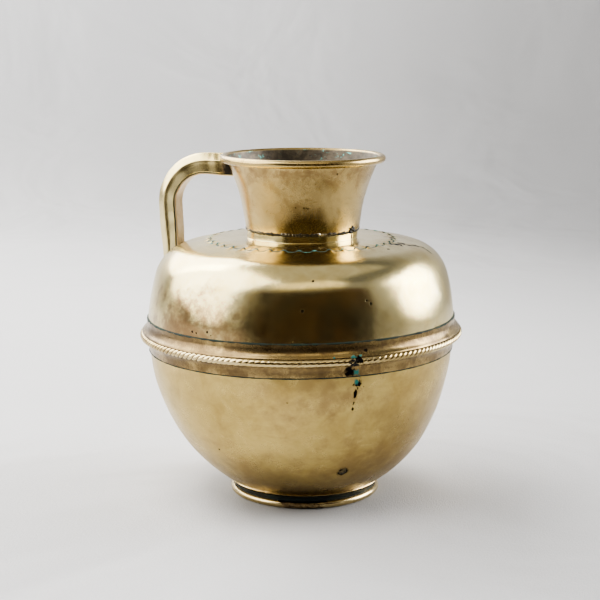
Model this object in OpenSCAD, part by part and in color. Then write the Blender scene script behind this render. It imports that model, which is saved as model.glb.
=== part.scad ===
// Lota water pot in raised sheet brass, with a side handle.
// Origin on the pot axis at floor level, +Z up, handle toward -X.
// Lengths in millimetres, angles in degrees.

/* [Sheet] */

// Sheet thickness of the bowl, shoulder and collar piece
shell_t = 1.2; // [1.0:0.1:2.0]

// Sheet thickness of the neck funnel
neck_t = 1.1; // [0.8:0.1:1.6]

// Sheet thickness of the belly band
band_t = 0.9; // [0.6:0.1:1.2]

/* [Bowl] */

// Outside radius of the bowl behind the band
bowl_r = 124.2; // [110:0.1:140]

// Height at which the bowl side turns vertical
bowl_z = 133.4; // [120:0.1:150]

// Height of the upper bowl edge inside the shoulder lap
bowl_top_z = 146; // [140:0.5:160]

// Radius of the upper bowl side curve
bowl_side_r = 158; // [120:1:220]

// Angle swept by the upper bowl side curve
bowl_side_a = 26; // [15:0.5:40]

// Radius of the lower bowl curve
bowl_low_r = 128; // [100:1:160]

// Angle below level at which the lower curve meets the base knuckle
bowl_low_a = 60; // [50:0.5:70]

// Radius of the base knuckle
knuckle_r = 12; // [6:0.5:20]

/* [Shoulder] */

// Lower edge height of the shoulder shell
shoulder_z = 139.6; // [130:0.1:150]

// Height at which the shoulder wall starts to lean in
wall_z = 142.3; // [135:0.1:155]

// Radius of the shoulder wall curve
wall_r = 141; // [100:1:200]

// Lean of the wall where the shoulder corner begins
wall_a = 17.6; // [10:0.1:25]

// Radius of the shoulder corner
corner_r = 33.5; // [20:0.5:50]

// Normal angle where the corner passes into the dome
corner_a = 76.9; // [70:0.1:84]

// Radius of the dome curve
dome_r = 400; // [200:10:800]

/* [Cramped seam] */

// Mean radius of the toothed seam between shoulder and collar piece
seam_r = 75.3; // [60:0.1:90]

// Radial depth of the cramp teeth
tooth_d = 6.4; // [3:0.1:10]

// Number of cramp teeth
tooth_n = 40; // [24:1:60]

// Width of the braze line in the seam
seam_w = 0.6; // [0.3:0.1:1.2]

/* [Neck] */

// Outside radius of the neck at its lower edge
neck_r = 46.1; // [35:0.1:60]

// Height of the lower neck edge
neck_z = 219.6; // [205:0.1:235]

// Slope of the neck side at its lower end
neck_a0 = 8.8; // [4:0.1:14]

// Height at which the neck flare begins
flare_z = 234; // [225:0.5:245]

// Radius of the neck flare curve
flare_r = 127; // [80:1:200]

// Slope of the neck side below the rim
neck_a1 = 21.5; // [15:0.5:35]

// Outside radius of the rolled rim section
roll_r = 3.2; // [2.5:0.1:4.5]

// Height of the whole pot
pot_h = 280; // [240:1:320]

// Height of the collar hidden inside the neck
lap_h = 6; // [3:0.5:10]

/* [Belly band] */

// Upper edge height of the belly band
band_top_z = 148.9; // [142:0.1:156]

// Lower edge height of the belly band
band_low_z = 121; // [112:0.5:128]

// Radius of the twisted wire section
rope_w = 3.5; // [2.5:0.1:4.5]

// Radius of the twisted wire ring
rope_r = 128.8; // [120:0.1:140]

// Height of the twisted wire ring
rope_z = 135.3; // [128:0.1:142]

/* [Foot] */

// Outside radius of the foot hoop wall
foot_r = 56.5; // [45:0.5:70]

// Radius of the foot bead section
bead_w = 3.0; // [2:0.1:4.5]

/* [Handle] */

// Depth and width of the handle section
grip = 17.2; // [12:0.1:24]

// Wall of the handle channel
grip_t = 1.4; // [1.0:0.1:2.0]

// Width of the narrow outer flat of the handle
grip_flat = 5.8; // [3:0.1:10]

// Height of the top face of the handle arm
arm_z = 279.6; // [265:0.1:290]

// Distance of the handle leg centre line from the axis
leg_r = 113.2; // [100:0.1:125]

// Centre line radius of the handle bend
bend_r = 33.4; // [22:0.1:45]

// Height at which the handle leg ends on the shoulder
leg_z = 176.5; // [165:0.5:195]

/* [Hidden] */
$fn = 120;
arc_step = 3;

// points of an arc about c from angle a0 to a1, without its first point
function arc(c, r, a0, a1, st = arc_step) =
  let (n = max(1, ceil(abs(a1 - a0) / st)))
  [for (i = [1:n]) c + r * [cos(a0 + (a1 - a0) * i / n), sin(a0 + (a1 - a0) * i / n)]];

function at(c, r, a) = c + r * [cos(a), sin(a)];

function flip(p) = [for (i = [len(p) - 1:-1:0]) p[i]];

// crossing of two circles, on the left of the line from the first to the second
function cross_pt(c1, r1, c2, r2) =
  let (d = norm(c2 - c1), u = (c2 - c1) / d, k = (r1 * r1 - r2 * r2 + d * d) / (2 * d),
       h = sqrt(r1 * r1 - k * k))
  c1 + k * u + h * [-u[1], u[0]];

function ang(c, p) = (atan2(p[1] - c[1], p[0] - c[0]) + 360) % 360;

shoulder_r = bowl_r + shell_t;
// upper bowl side curve and its end
bs_c = [bowl_r - bowl_side_r, bowl_z];
bs_e = at(bs_c, bowl_side_r, -bowl_side_a);
// lower bowl curve
bl_c = at(bs_e, -bowl_low_r, -bowl_side_a);
bl_e = at(bl_c, bowl_low_r, -bowl_low_a);
// base knuckle
bk_c = at(bl_e, -knuckle_r, -bowl_low_a);
base_z = bk_c[1] - knuckle_r;
// shoulder wall, corner and dome
sw_c = [shoulder_r - wall_r, wall_z];
sw_e = at(sw_c, wall_r, wall_a);
sc_c = at(sw_e, -corner_r, wall_a);
sc_e = at(sc_c, corner_r, corner_a);
sd_c = at(sc_e, -dome_r, corner_a);
seam_a = acos((seam_r - sd_c[0]) / dome_r);
sd_e = at(sd_c, dome_r, seam_a);
// collar piece: dished ring, flat, fillet, upstand
ring_r = 90;
fl_c = at(sd_e, -ring_r, seam_a);
flat_z = fl_c[1] + ring_r;
collar_r = neck_r - neck_t / cos(neck_a0);
fil_r = 3;
// neck cone, flare and rolled rim
nk_1 = [neck_r + (flare_z - neck_z) * tan(neck_a0), flare_z];
nf_c = nk_1 + flare_r * [cos(neck_a0), -sin(neck_a0)];
nf_e = at(nf_c, flare_r, 180 - neck_a1);
nf_i = at(nf_c, flare_r + neck_t, 180 - neck_a1);
roll_z = pot_h - roll_r;
roll_s = (roll_z - nf_i[1] + roll_r * sin(neck_a1)) / cos(neck_a1);
roll_c = nf_i + roll_s * [sin(neck_a1), cos(neck_a1)] + roll_r * [cos(neck_a1), -sin(neck_a1)];
rim_w = roll_r - neck_t;
// foot
foot_bead_r = foot_r + 1.4;
foot_bead_z = bead_w - 0.2;
flange_t = 1;
flange_r = 61.4;
flange_a = acos((flange_r - bl_c[0]) / bowl_low_r);
// handle
gh = grip / 2;
gs = 2;
arm_c = arm_z - gh;
bend_c = [leg_r - bend_r, arm_c - bend_r];

brass = "#c9ad6a";
brass_dark = "#8f7440";
braze = "#2f4a42";
solder = "#3a352c";

// ---- surface lines (radius, height), grown outward by g ----

// bowl from its upper edge down to the base
function bowl_line(g) = concat(
  [[bowl_r + g, bowl_top_z], [bowl_r + g, bowl_z]],
  arc(bs_c, bowl_side_r + g, 0, -bowl_side_a),
  arc(bl_c, bowl_low_r + g, -bowl_side_a, -bowl_low_a),
  arc(bk_c, knuckle_r + g, -bowl_low_a, -90, 6));

// shoulder from its lower edge to the corner
function wall_line(g) = concat(
  [[shoulder_r + g, shoulder_z], [shoulder_r + g, wall_z]],
  arc(sw_c, wall_r + g, 0, wall_a),
  arc(sc_c, corner_r + g, wall_a, corner_a, 4));

// dome in two steps, then the dished ring in three
function dome_line(g) = arc(sd_c, dome_r + g, corner_a, seam_a, (seam_a - corner_a) / 2 + 0.01);
function ring_line(g) = arc(fl_c, ring_r + g, seam_a, 90, (90 - seam_a) / 3 + 0.01);

// neck from its lower edge up to the rolled rim
function neck_line(g) = concat(
  [[neck_r + g / cos(neck_a0), neck_z], nk_1 + g * [cos(neck_a0), -sin(neck_a0)]],
  arc(nf_c, flare_r - g, 180 - neck_a0, 180 - neck_a1, 2));

// filled bodies inside those surfaces
module bowl_body(g) {
  rotate_extrude() polygon(concat(bowl_line(g), [[0, base_z - g], [0, bowl_top_z]]));
}

module shoulder_body(g) {
  rotate_extrude() polygon(concat(wall_line(g), dome_line(g), [[0, sd_e[1] + g], [0, shoulder_z]]));
}

module neck_body(g) {
  rotate_extrude() polygon(concat(neck_line(g), [[roll_c[0], roll_c[1]], [roll_c[0], pot_h + 6],
    [0, pot_h + 6], [0, neck_z]]));
  rotate_extrude() translate(roll_c) circle(r = roll_r + g);
}

// toothed outline of the collar piece, grown by g
module teeth(g) {
  step = 360 / tooth_n;
  da = asin(g / seam_r);
  ri = seam_r - tooth_d / 2 + g;
  ro = seam_r + tooth_d / 2 + g;
  polygon([for (i = [0:tooth_n - 1], k = [0:3])
    let (a = i * step + [-0.29, -0.17, 0.17, 0.29][k] * step + [-1, -1, 1, 1][k] * da,
         r = [ri, ro, ro, ri][k])
    r * [cos(a), sin(a)]]);
}

module tooth_block(g) {
  translate([0, 0, 200]) linear_extrude(30) teeth(g);
}

// ---- pot ----

module lower_bowl() {
  color(brass) rotate_extrude()
    polygon(concat(bowl_line(0), [[0, base_z], [0, base_z + shell_t]], flip(bowl_line(-shell_t))));
}

module shoulder_shell() {
  outer = concat(wall_line(0), dome_line(0), [ring_line(0)[0]]);
  inner = concat(wall_line(-shell_t), dome_line(-shell_t), [ring_line(-shell_t)[0]]);
  color(brass) difference() {
    rotate_extrude() polygon(concat(outer, flip(inner)));
    tooth_block(seam_w / 2);
  }
}

module neck_flange() {
  fc = [collar_r + fil_r, flat_z + fil_r];
  lean = lap_h * tan(neck_a0);
  outer = concat(dome_line(0), ring_line(0), [[fc[0], flat_z]], arc(fc, fil_r, 270, 180, 15),
                 [[collar_r, neck_z], [collar_r + lean, neck_z + lap_h]]);
  inner = concat(dome_line(-shell_t), ring_line(-shell_t), [[fc[0], flat_z - shell_t]],
                 arc(fc, fil_r + shell_t, 270, 180, 15),
                 [[collar_r - shell_t, neck_z], [collar_r + lean - shell_t, neck_z + lap_h]]);
  color(brass) intersection() {
    rotate_extrude() polygon(concat(outer, flip(inner)));
    tooth_block(-seam_w / 2);
  }
}

module cramp_seam_braze() {
  outer = concat(dome_line(0), [ring_line(0)[0]]);
  inner = concat(dome_line(-shell_t), [ring_line(-shell_t)[0]]);
  color(braze) difference() {
    intersection() {
      rotate_extrude() polygon(concat(outer, flip(inner)));
      tooth_block(seam_w / 2);
    }
    tooth_block(-seam_w / 2);
  }
}

module neck() {
  a = 180 - neck_a1;
  color(brass) rotate_extrude()
    polygon(concat(neck_line(0), [at(roll_c, rim_w, a)], arc(roll_c, rim_w, a, -140, 15),
                   [at(roll_c, roll_r, -140)], arc(roll_c, roll_r, -140, a, 15),
                   flip(neck_line(-neck_t))));
}

module rim_wire() {
  color(brass) rotate_extrude() translate(roll_c) circle(r = rim_w - 0.03);
}

module neck_seam_braze() {
  color(braze) rotate_extrude()
    polygon([[collar_r, neck_z], [neck_r - 0.25, neck_z], [collar_r, neck_z - 0.9]]);
}

// ---- belly band ----

module belly_band() {
  rc = [rope_r, rope_z];
  up = [shoulder_r + band_t + 9, band_top_z - 2.4];
  la = asin((bowl_z - band_low_z) / bowl_side_r);
  lb = asin((bowl_z - band_low_z - 3.5) / bowl_side_r);
  co = [at(bs_c, bowl_side_r + band_t, -lb)[0] + 7.6, band_low_z + 3.5];
  pu = cross_pt(rc, rope_w + band_t, up, 9 + band_t);
  pl = cross_pt(co, 7.6 + band_t, rc, rope_w + band_t);
  color(brass) rotate_extrude()
    polygon(concat(
      [[shoulder_r, up[1]], [shoulder_r, band_top_z], [shoulder_r + band_t, band_top_z],
       [shoulder_r + band_t, up[1]]],
      arc(up, 9, 180, 233, 7), [at(rc, rope_w, 66)], arc(rc, rope_w, 66, 300, 13),
      [at(co, 7.6, 105)], arc(co, 7.6, 105, 180, 8), [at(bs_c, bowl_side_r + band_t, -la)],
      [at(bs_c, bowl_side_r, -la), at(bs_c, bowl_side_r, -lb)],
      arc(co, 7.6 + band_t, 180, ang(co, pl), 8),
      arc(rc, rope_w + band_t, ang(rc, pl), ang(rc, pu), 13),
      arc(up, 9 + band_t, ang(up, pu), 183, 7)));
}

module rope_bead() {
  color(brass) rotate_extrude() translate([rope_r, rope_z]) circle(r = rope_w - 0.03);
}

module band_upper_braze() {
  color(braze) rotate_extrude()
    polygon([[shoulder_r - 0.05, band_top_z], [shoulder_r + band_t - 0.2, band_top_z],
             [shoulder_r - 0.1, band_top_z + 1]]);
}

module band_lower_braze() {
  e = at(bs_c, bowl_side_r, -asin((bowl_z - band_low_z) / bowl_side_r))[0];
  color(braze) rotate_extrude()
    polygon([[e, band_low_z], [e + band_t - 0.2, band_low_z], [e - 0.04, band_low_z - 1]]);
}

// ---- foot ----

module foot_hoop() {
  ka = acos((foot_r - shell_t - bk_c[0]) / knuckle_r);
  kb = acos((foot_r - bk_c[0]) / (knuckle_r + flange_t));
  color(brass) rotate_extrude()
    polygon(concat([[foot_r - shell_t, 0], [foot_r, 0], at(bk_c, knuckle_r + flange_t, -kb)],
      arc(bk_c, knuckle_r + flange_t, -kb, -bowl_low_a, 6),
      arc(bl_c, bowl_low_r + flange_t, -bowl_low_a, -flange_a, 1),
      [at(bl_c, bowl_low_r, -flange_a)],
      arc(bl_c, bowl_low_r, -flange_a, -bowl_low_a, 3),
      arc(bk_c, knuckle_r, -bowl_low_a, -ka, 6)));
}

module foot_bead() {
  color(brass) rotate_extrude() intersection() {
    translate([foot_bead_r, foot_bead_z]) circle(r = bead_w);
    translate([foot_r, 0]) square([20, 20]);
  }
}

module foot_braze() {
  kb = acos((foot_r - bk_c[0]) / (knuckle_r + flange_t));
  p = at(bk_c, knuckle_r + flange_t, -bowl_low_a);
  color(braze) rotate_extrude()
    polygon(concat([[foot_r, base_z - 2.6], p], flip([at(bk_c, knuckle_r + flange_t, -kb)])));
}

// ---- handle ----

module grip_outer(e) {
  polygon([[-gh - e, -gh - e], [gs + e / 2, -gh - e], [gh + e, -grip_flat / 2 - e / 2],
           [gh + e, grip_flat / 2 + e / 2], [gs + e / 2, gh + e], [-gh - e, gh + e]]);
}

// section of the folded channel, x outward and y across
module channel_section() {
  d = [gh - gs, grip_flat / 2 - gh] / norm([gh - gs, gh - grip_flat / 2]);
  m = [-d[1], d[0]];
  k = m * [gs, gh] - grip_t;
  ib = gh - grip_t;
  ia = (k - m[1] * ib) / m[0];
  fb = (k - m[0] * ib) / m[1];
  x0 = 1.2 - gh;
  polygon([[x0, -gh], [gs, -gh], [gh, -grip_flat / 2], [gh, grip_flat / 2], [gs, gh], [x0, gh],
           [x0, ib], [ia, ib], [ib, fb], [ib, -fb], [ia, -ib], [x0, -ib]]);
}

// flat strip that closes the channel on the side of the pot
module strip_section() {
  translate([-gh, -gh]) square([1.2, grip]);
}

module seam_section() {
  for (s = [-1, 1])
    polygon([[-gh + 0.7, s * gh], [-gh + 1.7, s * gh], [-gh + 1.2, s * (gh + 0.45)]]);
}

module arm_run(l0, l1) {
  translate([l0 - bend_c[0], 0, arm_c]) rotate([0, 90, 0]) rotate([0, 0, 180])
    linear_extrude(l1 - l0) children();
}

module bend_run() {
  translate([-bend_c[0], 0, bend_c[1]]) rotate([90, 0, 0]) rotate([0, 0, 90])
    rotate_extrude(angle = 90) translate([bend_r, 0]) children();
}

module leg_run(l0, l1) {
  translate([-leg_r, 0, bend_c[1] - l1]) rotate([0, 0, 180])
    linear_extrude(l1 - l0) children();
}

module handle_run() {
  difference() {
    union() {
      arm_run(0, bend_c[0] - 45) children();
      bend_run() children();
      leg_run(0, bend_c[1] - leg_z) children();
    }
    neck_body(0);
    shoulder_body(0);
  }
}

module handle_channel() {
  color(brass) handle_run() channel_section();
}

module handle_strip() {
  color(brass_dark) handle_run() strip_section();
}

module handle_seam_braze() {
  color(braze) handle_run() seam_section();
}

// solder round the two ends of the handle
module handle_neck_braze() {
  color(solder) difference() {
    intersection() {
      arm_run(5, bend_c[0] - 45) grip_outer(1.1);
      neck_body(0.9);
    }
    neck_body(0);
    arm_run(0, bend_c[0] - 45) grip_outer(0);
    arm_run(0, bend_c[0] - 45) seam_section();
    translate([-90, -20, pot_h - 0.4]) cube([60, 40, 5]);
  }
}

module handle_foot_braze() {
  color(solder) difference() {
    intersection() {
      leg_run(20, 75) grip_outer(1.1);
      shoulder_body(0.9);
    }
    shoulder_body(0);
    leg_run(0, 75) grip_outer(0);
    leg_run(0, 75) seam_section();
  }
}

// ---- repairs ----

// flat solder patch low on the bowl
module bowl_patch() {
  a = -40.5;
  p = at(bl_c, bowl_low_r, a);
  color(solder) difference() {
    intersection() {
      rotate([0, 0, -55]) translate([p[0], 0, p[1]]) rotate([0, 90 - a, 0]) translate([0, 0, -4])
        linear_extrude(8) union() {
          circle(r = 3);
          translate([-1.5, 0.6]) square([1.5, 5.4]);
        }
      bowl_body(0.5);
    }
    bowl_body(0);
  }
}

// solder drop over the lower neck edge
module neck_solder() {
  color(solder) difference() {
    rotate([0, 0, -16]) translate([neck_r - 0.2, 0, neck_z + 1]) sphere(r = 3.2);
    neck_body(0);
    translate([0, 0, 200]) cylinder(r = collar_r, h = 25);
    rotate_extrude() polygon([[0, neck_z], [neck_r - 0.25, neck_z], [collar_r, neck_z - 0.9], [0, neck_z - 0.9]]);
  }
}

// solder run over the twisted wire
module band_lump() {
  rc = [rope_r, rope_z];
  color(solder) rotate([0, 0, -59.6]) rotate_extrude(angle = 4.2)
    polygon(concat([at(rc, rope_w, -75)], arc(rc, rope_w, -75, 60, 15),
                   [at(rc, rope_w + 0.6, 60)], arc(rc, rope_w + 0.6, 60, -75, 15)));
}

lower_bowl();
shoulder_shell();
neck_flange();
cramp_seam_braze();
neck();
rim_wire();
neck_seam_braze();
belly_band();
rope_bead();
band_upper_braze();
band_lower_braze();
foot_hoop();
foot_bead();
foot_braze();
handle_channel();
handle_strip();
handle_seam_braze();
handle_neck_braze();
handle_foot_braze();
bowl_patch();
neck_solder();
band_lump();
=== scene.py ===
"""Brass water pot: finished pieces over the CAD frame, brass materials, studio with painted light and shade on its
cloth, and camera.
"""
import bpy
import bmesh
import math
import numpy as np
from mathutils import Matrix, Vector


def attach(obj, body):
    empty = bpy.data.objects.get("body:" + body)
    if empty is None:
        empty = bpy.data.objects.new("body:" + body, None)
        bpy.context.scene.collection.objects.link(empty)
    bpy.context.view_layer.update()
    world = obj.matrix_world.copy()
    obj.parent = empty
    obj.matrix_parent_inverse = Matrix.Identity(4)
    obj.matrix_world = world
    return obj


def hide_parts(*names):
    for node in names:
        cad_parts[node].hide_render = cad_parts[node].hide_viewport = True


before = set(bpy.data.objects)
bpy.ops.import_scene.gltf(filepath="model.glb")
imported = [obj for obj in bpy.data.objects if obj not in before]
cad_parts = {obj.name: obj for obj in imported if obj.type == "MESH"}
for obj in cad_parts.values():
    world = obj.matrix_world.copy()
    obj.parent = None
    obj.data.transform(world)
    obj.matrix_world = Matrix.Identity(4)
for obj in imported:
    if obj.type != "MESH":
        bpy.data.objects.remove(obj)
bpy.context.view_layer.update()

MM = 0.001
CAM_AZ = math.radians(15)          # the camera stands this far round from -Y
RIGHT = np.array([math.cos(CAM_AZ), math.sin(CAM_AZ)])


# ---------------------------------------------------------------- profiles (mm)

def arc(cr, cz, rad, a0, a1, n=12):
    """Points of an arc in the (r, z) plane."""
    return [(cr + rad * math.cos(math.radians(a0 + (a1 - a0) * i / n)),
             cz + rad * math.sin(math.radians(a0 + (a1 - a0) * i / n))) for i in range(n + 1)]


def line(p, q, n=4):
    """Points of a straight line without its first point."""
    return [(p[0] + (q[0] - p[0]) * i / n, p[1] + (q[1] - p[1]) * i / n) for i in range(1, n + 1)]


def smooth(x, a, b):
    """Smooth step from 0 at a to 1 at b, for arrays."""
    t = np.clip((x - a) / (b - a), 0, 1)
    return t * t * (3 - 2 * t)


TEETH = 40
SEAM_R = 75.3


def seam_r(th):
    """Radius of the toothed seam at an angle, in mm."""
    ph = (th * TEETH / (2 * math.pi)) % 1.0
    ph = np.abs(ph - 0.5)
    wob = 0.4 * np.sin(7 * th + 1.1) + 0.3 * np.sin(17 * th)
    return SEAM_R + 1.2 - (2.4 + wob) * smooth(-ph, -0.34, -0.02)


def dome_z(r, th):
    """Height of the outer face near the seam, which the hammer has left a little wavy."""
    ph = np.abs((th * TEETH / (2 * math.pi)) % 1.0 - 0.5)
    wave = smooth(-ph, -0.34, -0.02) - 0.4 + 0.25 * np.sin(11 * th)
    lift = 0.75 * wave * np.exp(-((r - SEAM_R) / 3.6) ** 2)
    return lift + np.where(r > 75.3, -182.16 + np.sqrt(400.0 ** 2 - (r - 3.8) ** 2),
                    np.where(r > 59.21, 122.85 + np.sqrt(np.maximum(90.0 ** 2 - (r - 59.21) ** 2, 0)), 212.85))


# ------------------------------------------------- hand-made lean and unevenness

def hand_made(v):
    """Moves points (mm) the way the hand-raised pot leans and waves."""
    x, y, z = v[:, 0].copy(), v[:, 1].copy(), v[:, 2].copy()
    th = np.arctan2(y, x)
    r = np.hypot(x, y)
    fade = smooth(z, 6, 40) * (1 - smooth(z, 205, 213)) + 0.7 * smooth(z, 222, 240) * (1 - smooth(z, 262, 274))
    dr = 0.26 * np.sin(3 * th + 1.3) * np.sin(z / 21.0 + 0.5) + 0.2 * np.sin(5 * th + z / 15.0)
    dr += 0.13 * np.sin(8 * th - z / 9.0 + 2.0) + 0.08 * np.sin(13 * th + z / 6.0 + 0.7)
    dr *= np.clip(fade, 0, 1) * smooth(r, 20, 45) * (1 - 0.85 * smooth(z, 112, 120) * (1 - smooth(z, 150, 158)))
    dr *= 1 - smooth(r, 126.5, 128.0)
    k = 1 + dr / np.maximum(r, 1)
    x, y = x * k, y * k
    s = RIGHT[0] * x + RIGHT[1] * y
    shift = 3.3 * (1 - smooth(z, 0, 120)) + 1.4 * smooth(z, 205, 219) * (1 - smooth(-s, 58, 96))
    tilt = 0.011 * s * smooth(z, 5, 130) * (1 - smooth(z, 203, 216))
    lump = 0.35 * np.sin(2 * th + 0.6) * smooth(z, 150, 200) * (1 - smooth(z, 204, 212))
    out = np.stack([x + shift * RIGHT[0], y + shift * RIGHT[1], z + tilt + lump], axis=1)
    return out


# ---------------------------------------------------------------- mesh building

def finish_mesh(name, verts, faces, body="root", slot=None, node=None, attrs=None, sharp=34, warp=True, weld=False):
    """Makes one object from points in mm, with its attributes and CAD node; slot is not used."""
    v = np.asarray(verts, dtype=float)
    if warp:
        v = hand_made(v)
    me = bpy.data.meshes.new(name)
    me.from_pydata([tuple(p) for p in (v * MM)], [], faces)
    for key, values in (attrs or {}).items():
        a = me.attributes.new(key, "FLOAT", "POINT")
        a.data.foreach_set("value", np.asarray(values, dtype=np.float32))
    bm = bmesh.new()
    bm.from_mesh(me)
    if weld:
        bmesh.ops.remove_doubles(bm, verts=bm.verts, dist=2e-6)
        bmesh.ops.dissolve_degenerate(bm, edges=bm.edges, dist=1e-7)
    bmesh.ops.recalc_face_normals(bm, faces=bm.faces)
    bm.to_mesh(me)
    bm.free()
    me.polygons.foreach_set("use_smooth", [True] * len(me.polygons))
    me.set_sharp_from_angle(angle=math.radians(sharp))
    ob = bpy.data.objects.new(name, me)
    bpy.context.scene.collection.objects.link(ob)
    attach(ob, body)
    if node:
        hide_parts(node)
    return ob


def grid_faces(m, n, wrap_m=True, wrap_n=True):
    """Quads of an m by n grid of points."""
    faces = []
    for i in range(m if wrap_m else m - 1):
        i2 = (i + 1) % m
        for j in range(n if wrap_n else n - 1):
            j2 = (j + 1) % n
            faces.append((i * n + j, i2 * n + j, i2 * n + j2, i * n + j2))
    return faces


def lathe(name, prof, seg=288, inside=None, grime_and_shade=None, a0=0.0, a1=360.0, **kw):
    """Turns a closed outline round the axis. prof is a list of (r, z), or a function of the angles
    that gives two arrays (angles by points)."""
    full = abs(a1 - a0 - 360) < 1e-6
    m = seg
    th = np.radians(a0 + (a1 - a0) * np.arange(m) / (m if full else m - 1))
    if callable(prof):
        R, Z = prof(th)
    else:
        p = np.array(prof)
        R, Z = np.tile(p[:, 0], (m, 1)), np.tile(p[:, 1], (m, 1))
    n = R.shape[1]
    X, Y = R * np.cos(th)[:, None], R * np.sin(th)[:, None]
    v = np.stack([X.ravel(), Y.ravel(), Z.ravel()], axis=1)
    faces = grid_faces(m, n, full, True)
    if not full:
        faces.append(tuple(range(n)))
        faces.append(tuple((m - 1) * n + j for j in range(n)))
    attrs = {}
    attrs["inside"] = np.tile(np.array(inside, dtype=float), m) if inside is not None else np.zeros(m * n)
    T = np.tile(th[:, None], (1, n))
    # per-point value of dirt and of painted shade in creases, recesses and joins, read by the brass materials
    attrs["grime_and_shade"] = grime_and_shade(R, Z, T).ravel() if grime_and_shade else np.zeros(m * n)
    poles = bool(np.any(R < 1e-6))
    return finish_mesh(name, v, faces, attrs=attrs, weld=poles, **kw)


def bump_1d(x, c, w):
    """Soft bump of width w about c."""
    return np.exp(-((x - c) / w) ** 2)


# ------------------------------------------------------------------- node wiring

class Nodes:
    """Short calls for wiring one material."""

    def __init__(self, name):
        self.mat = bpy.data.materials.new(name)
        self.mat.use_nodes = True
        self.t = self.mat.node_tree
        self.t.nodes.clear()
        self.out = self.t.nodes.new("ShaderNodeOutputMaterial")
        self.co = self.t.nodes.new("ShaderNodeTexCoord").outputs["Object"]

    def put(self, sock, val):
        if isinstance(val, bpy.types.NodeSocket):
            self.t.links.new(val, sock)
        elif isinstance(val, (tuple, list)) and len(val) == 3 and sock.type == "RGBA":
            sock.default_value = (*val, 1)
        else:
            sock.default_value = val

    def math(self, op, a, b=0.0, c=0.0, clamp=False):
        n = self.t.nodes.new("ShaderNodeMath")
        n.operation = op
        n.use_clamp = clamp
        for s, val in zip(n.inputs, (a, b, c)):
            self.put(s, val)
        return n.outputs[0]

    def scaled(self, sx, sy, sz, loc=(0, 0, 0)):
        n = self.t.nodes.new("ShaderNodeMapping")
        self.put(n.inputs["Vector"], self.co)
        n.inputs["Scale"].default_value = (sx, sy, sz)
        n.inputs["Location"].default_value = loc
        return n.outputs[0]

    def noise(self, scale, detail=4.0, rough=0.55, dist=0.0, vec=None, colour=False):
        n = self.t.nodes.new("ShaderNodeTexNoise")
        self.put(n.inputs["Vector"], self.co if vec is None else vec)
        n.inputs["Scale"].default_value = scale
        n.inputs["Detail"].default_value = detail
        n.inputs["Roughness"].default_value = rough
        n.inputs["Distortion"].default_value = dist
        return n.outputs["Color" if colour else "Fac"]

    def step(self, val, a, b, lo=0.0, hi=1.0):
        n = self.t.nodes.new("ShaderNodeMapRange")
        n.interpolation_type = "SMOOTHSTEP"
        for s, x in zip(("Value", "From Min", "From Max", "To Min", "To Max"), (val, a, b, lo, hi)):
            self.put(n.inputs[s], x)
        return n.outputs[0]

    def mix(self, f, a, b, mode="MIX"):
        n = self.t.nodes.new("ShaderNodeMix")
        n.data_type = "RGBA"
        n.blend_type = mode
        self.put(n.inputs[0], f)
        self.put(n.inputs[6], a)
        self.put(n.inputs[7], b)
        return n.outputs[2]

    def attr(self, name):
        n = self.t.nodes.new("ShaderNodeAttribute")
        n.attribute_name = name
        return n.outputs["Fac"]

    def xyz(self):
        n = self.t.nodes.new("ShaderNodeSeparateXYZ")
        self.put(n.inputs[0], self.co)
        return n.outputs

    def spot(self, place, size, soft=0.35, ragged=0.5, stretch=(1, 1, 1), nscale=300.0):
        """1 inside a ragged spot about a place (mm), 0 outside."""
        sub = self.t.nodes.new("ShaderNodeVectorMath")
        sub.operation = "SUBTRACT"
        self.put(sub.inputs[0], self.co)
        sub.inputs[1].default_value = [c * MM for c in place]
        mul = self.t.nodes.new("ShaderNodeVectorMath")
        mul.operation = "MULTIPLY"
        self.put(mul.inputs[0], sub.outputs[0])
        mul.inputs[1].default_value = stretch
        ln = self.t.nodes.new("ShaderNodeVectorMath")
        ln.operation = "LENGTH"
        self.put(ln.inputs[0], mul.outputs[0])
        nz = self.noise(nscale, 5.0, 0.65)
        d = self.math("DIVIDE", ln.outputs["Value"], size * MM)
        d = self.math("ADD", d, self.math("MULTIPLY", self.math("SUBTRACT", nz, 0.5), 7.0 * ragged))
        return self.step(d, 1.0 + soft, 1.0 - soft)

    def most(self, parts):
        out = parts[0]
        for p in parts[1:]:
            out = self.math("MAXIMUM", out, p)
        return out

    def bump(self, height, distance, strength=1.0, normal=None):
        n = self.t.nodes.new("ShaderNodeBump")
        n.inputs["Strength"].default_value = strength
        n.inputs["Distance"].default_value = distance
        self.put(n.inputs["Height"], height)
        if normal is not None:
            self.put(n.inputs["Normal"], normal)
        return n.outputs[0]

    def surface(self, colour, metal, rough, normal, coat=0.0, coat_rough=0.2):
        n = self.t.nodes.new("ShaderNodeBsdfPrincipled")
        self.put(n.inputs["Base Color"], colour)
        self.put(n.inputs["Metallic"], metal)
        self.put(n.inputs["Roughness"], rough)
        self.put(n.inputs["Normal"], normal)
        n.inputs["Coat Weight"].default_value = coat
        n.inputs["Coat Roughness"].default_value = coat_rough
        self.t.links.new(n.outputs[0], self.out.inputs[0])
        return self.mat


def place(r, az, z):
    """A point on the pot from its radius, CAD azimuth and height, in mm."""
    p = np.array([[r * math.cos(math.radians(az)), r * math.sin(math.radians(az)), z]])
    return tuple(hand_made(p)[0])


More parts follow.
